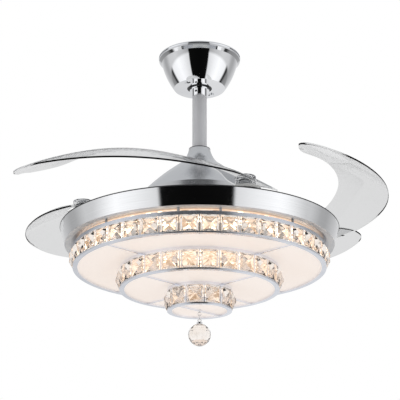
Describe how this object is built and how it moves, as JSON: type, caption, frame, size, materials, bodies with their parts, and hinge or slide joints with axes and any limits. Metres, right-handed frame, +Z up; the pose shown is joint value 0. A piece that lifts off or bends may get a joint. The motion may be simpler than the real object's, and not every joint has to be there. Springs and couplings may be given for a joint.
{
  "type": "ceiling_fan",
  "caption": "Ceiling fan with folding clear blades round a chrome drum and a tiered crystal lamp with a hanging ball.",
  "frame": {"origin": "middle of the ceiling plate's upper face", "axes": "+Z up to the ceiling along the rod, -Y towards the viewer, X along the ceiling plate's slots"},
  "size_m": [0.6502, 0.6502, 0.555],
  "materials": {
    "chrome": "polished",
    "satin_steel": "satin",
    "plated_sheet": "plated",
    "sheet_alloy": "plain sheet",
    "cast_alloy": "cast",
    "core_steel": "matt",
    "copper": "enamelled",
    "dark_plastic": "matt",
    "white_plastic": "matt",
    "rubber": "matt",
    "clear_plastic": "clear",
    "crystal": "polished",
    "lit_diffuser": "opal",
    "led_board": "matt"
  },
  "bodies": {
    "ceiling_mount": {"hanger_bracket": "plated_sheet", "canopy": "chrome", "canopy_screws": "chrome", "receiver_box": "dark_plastic"},
    "hanger": {"hanger_ball": "dark_plastic", "ball_pin": "satin_steel", "downrod": "satin_steel", "rod_collar": "chrome", "coupling": "cast_alloy", "coupling_bolt": "satin_steel", "coupling_cover": "chrome", "cover_gasket": "rubber", "top_cover": "chrome", "top_cover_screws": "satin_steel", "motor_shaft": "satin_steel", "stator_core": "core_steel", "stator_windings": "copper", "drum_band": "chrome", "drum_pan": "sheet_alloy", "shaft_nut": "satin_steel", "led_driver": "white_plastic", "lamp_lead": "rubber", "tier_1_spacers": "satin_steel", "tier_2_screws": "satin_steel", "tier_3_screws": "satin_steel", "pendant_hook": "chrome", "tier_1_frame": "chrome", "tier_1_crystals": "crystal", "tier_1_diffuser": "lit_diffuser", "tier_1_led_board": "led_board", "tier_2_frame": "chrome", "tier_2_crystals": "crystal", "tier_2_diffuser": "lit_diffuser", "tier_2_led_board": "led_board", "tier_3_frame": "chrome", "tier_3_crystals": "crystal", "tier_3_diffuser": "lit_diffuser", "tier_3_led_board": "led_board"},
    "rotor": {"rotor_lower_shell": "cast_alloy", "rotor_upper_shell": "cast_alloy", "rotor_magnets": "core_steel", "lower_bearing": "satin_steel", "upper_bearing": "satin_steel", "blade_carrier": "sheet_alloy", "carrier_screws": "satin_steel", "pivot_bolts": "satin_steel", "pivot_nuts": "satin_steel", "return_springs": "satin_steel"},
    "sync_gear": {"sync_ring": "white_plastic"},
    "pendant_link": {"pendant_link": "chrome"},
    "pendant_ball": {"ball_cap": "chrome", "crystal_ball": "crystal"},
    "blade_1": {"blade_1": "clear_plastic", "blade_gear_1": "white_plastic"},
    "blade_2": {"blade_2": "clear_plastic", "blade_gear_2": "white_plastic"},
    "blade_3": {"blade_3": "clear_plastic", "blade_gear_3": "white_plastic"},
    "blade_4": {"blade_4": "clear_plastic", "blade_gear_4": "white_plastic"}
  },
  "joints": [
    {"name": "hanger_tilt", "type": "hinge", "parent": "ceiling_mount", "child": "hanger", "pos_m": [0, 0, -0.04777], "axis": [1, 0, 0], "range_deg": [-2, 2]},
    {"name": "rotor_spin", "type": "hinge", "parent": "hanger", "child": "rotor", "pos_m": [0, 0, -0.345], "axis": [0, 0, 1], "continuous": true},
    {"name": "blade_1_swing", "type": "hinge", "parent": "rotor", "child": "blade_1", "pos_m": [0.20373, 0.07617, -0.345], "axis": [0, 0, 1], "range_deg": [-34, 55], "stiffness_Nm_per_rad": 0.15, "springref_deg": -60.16},
    {"name": "blade_2_swing", "type": "hinge", "parent": "rotor", "child": "blade_2", "pos_m": [-0.07617, 0.20373, -0.345], "axis": [0, 0, 1], "range_deg": [-34, 55], "stiffness_Nm_per_rad": 0.15, "springref_deg": -60.16},
    {"name": "blade_3_swing", "type": "hinge", "parent": "rotor", "child": "blade_3", "pos_m": [-0.20373, -0.07617, -0.345], "axis": [0, 0, 1], "range_deg": [-34, 55], "stiffness_Nm_per_rad": 0.15, "springref_deg": -60.16},
    {"name": "blade_4_swing", "type": "hinge", "parent": "rotor", "child": "blade_4", "pos_m": [0.07617, -0.20373, -0.345], "axis": [0, 0, 1], "range_deg": [-34, 55], "stiffness_Nm_per_rad": 0.15, "springref_deg": -60.16},
    {"name": "sync_turn", "type": "hinge", "parent": "rotor", "child": "sync_gear", "pos_m": [0, 0, -0.345], "axis": [0, 0, 1], "range_deg": [-10, 7]},
    {"name": "link_swing", "type": "hinge", "parent": "hanger", "child": "pendant_link", "pos_m": [0, 0, -0.5008], "axis": [1, 0, 0], "range_deg": [-25, 25]},
    {"name": "ball_swing", "type": "hinge", "parent": "pendant_link", "child": "pendant_ball", "pos_m": [0, 0, -0.5068], "axis": [0, 1, 0], "range_deg": [-25, 25]}
  ],
  "couplings": [
    {"joint": "blade_2_swing", "follows": "blade_1_swing", "ratio": 1},
    {"joint": "blade_3_swing", "follows": "blade_1_swing", "ratio": 1},
    {"joint": "blade_4_swing", "follows": "blade_1_swing", "ratio": 1},
    {"joint": "sync_turn", "follows": "blade_1_swing", "ratio": -0.16071}
  ]
}
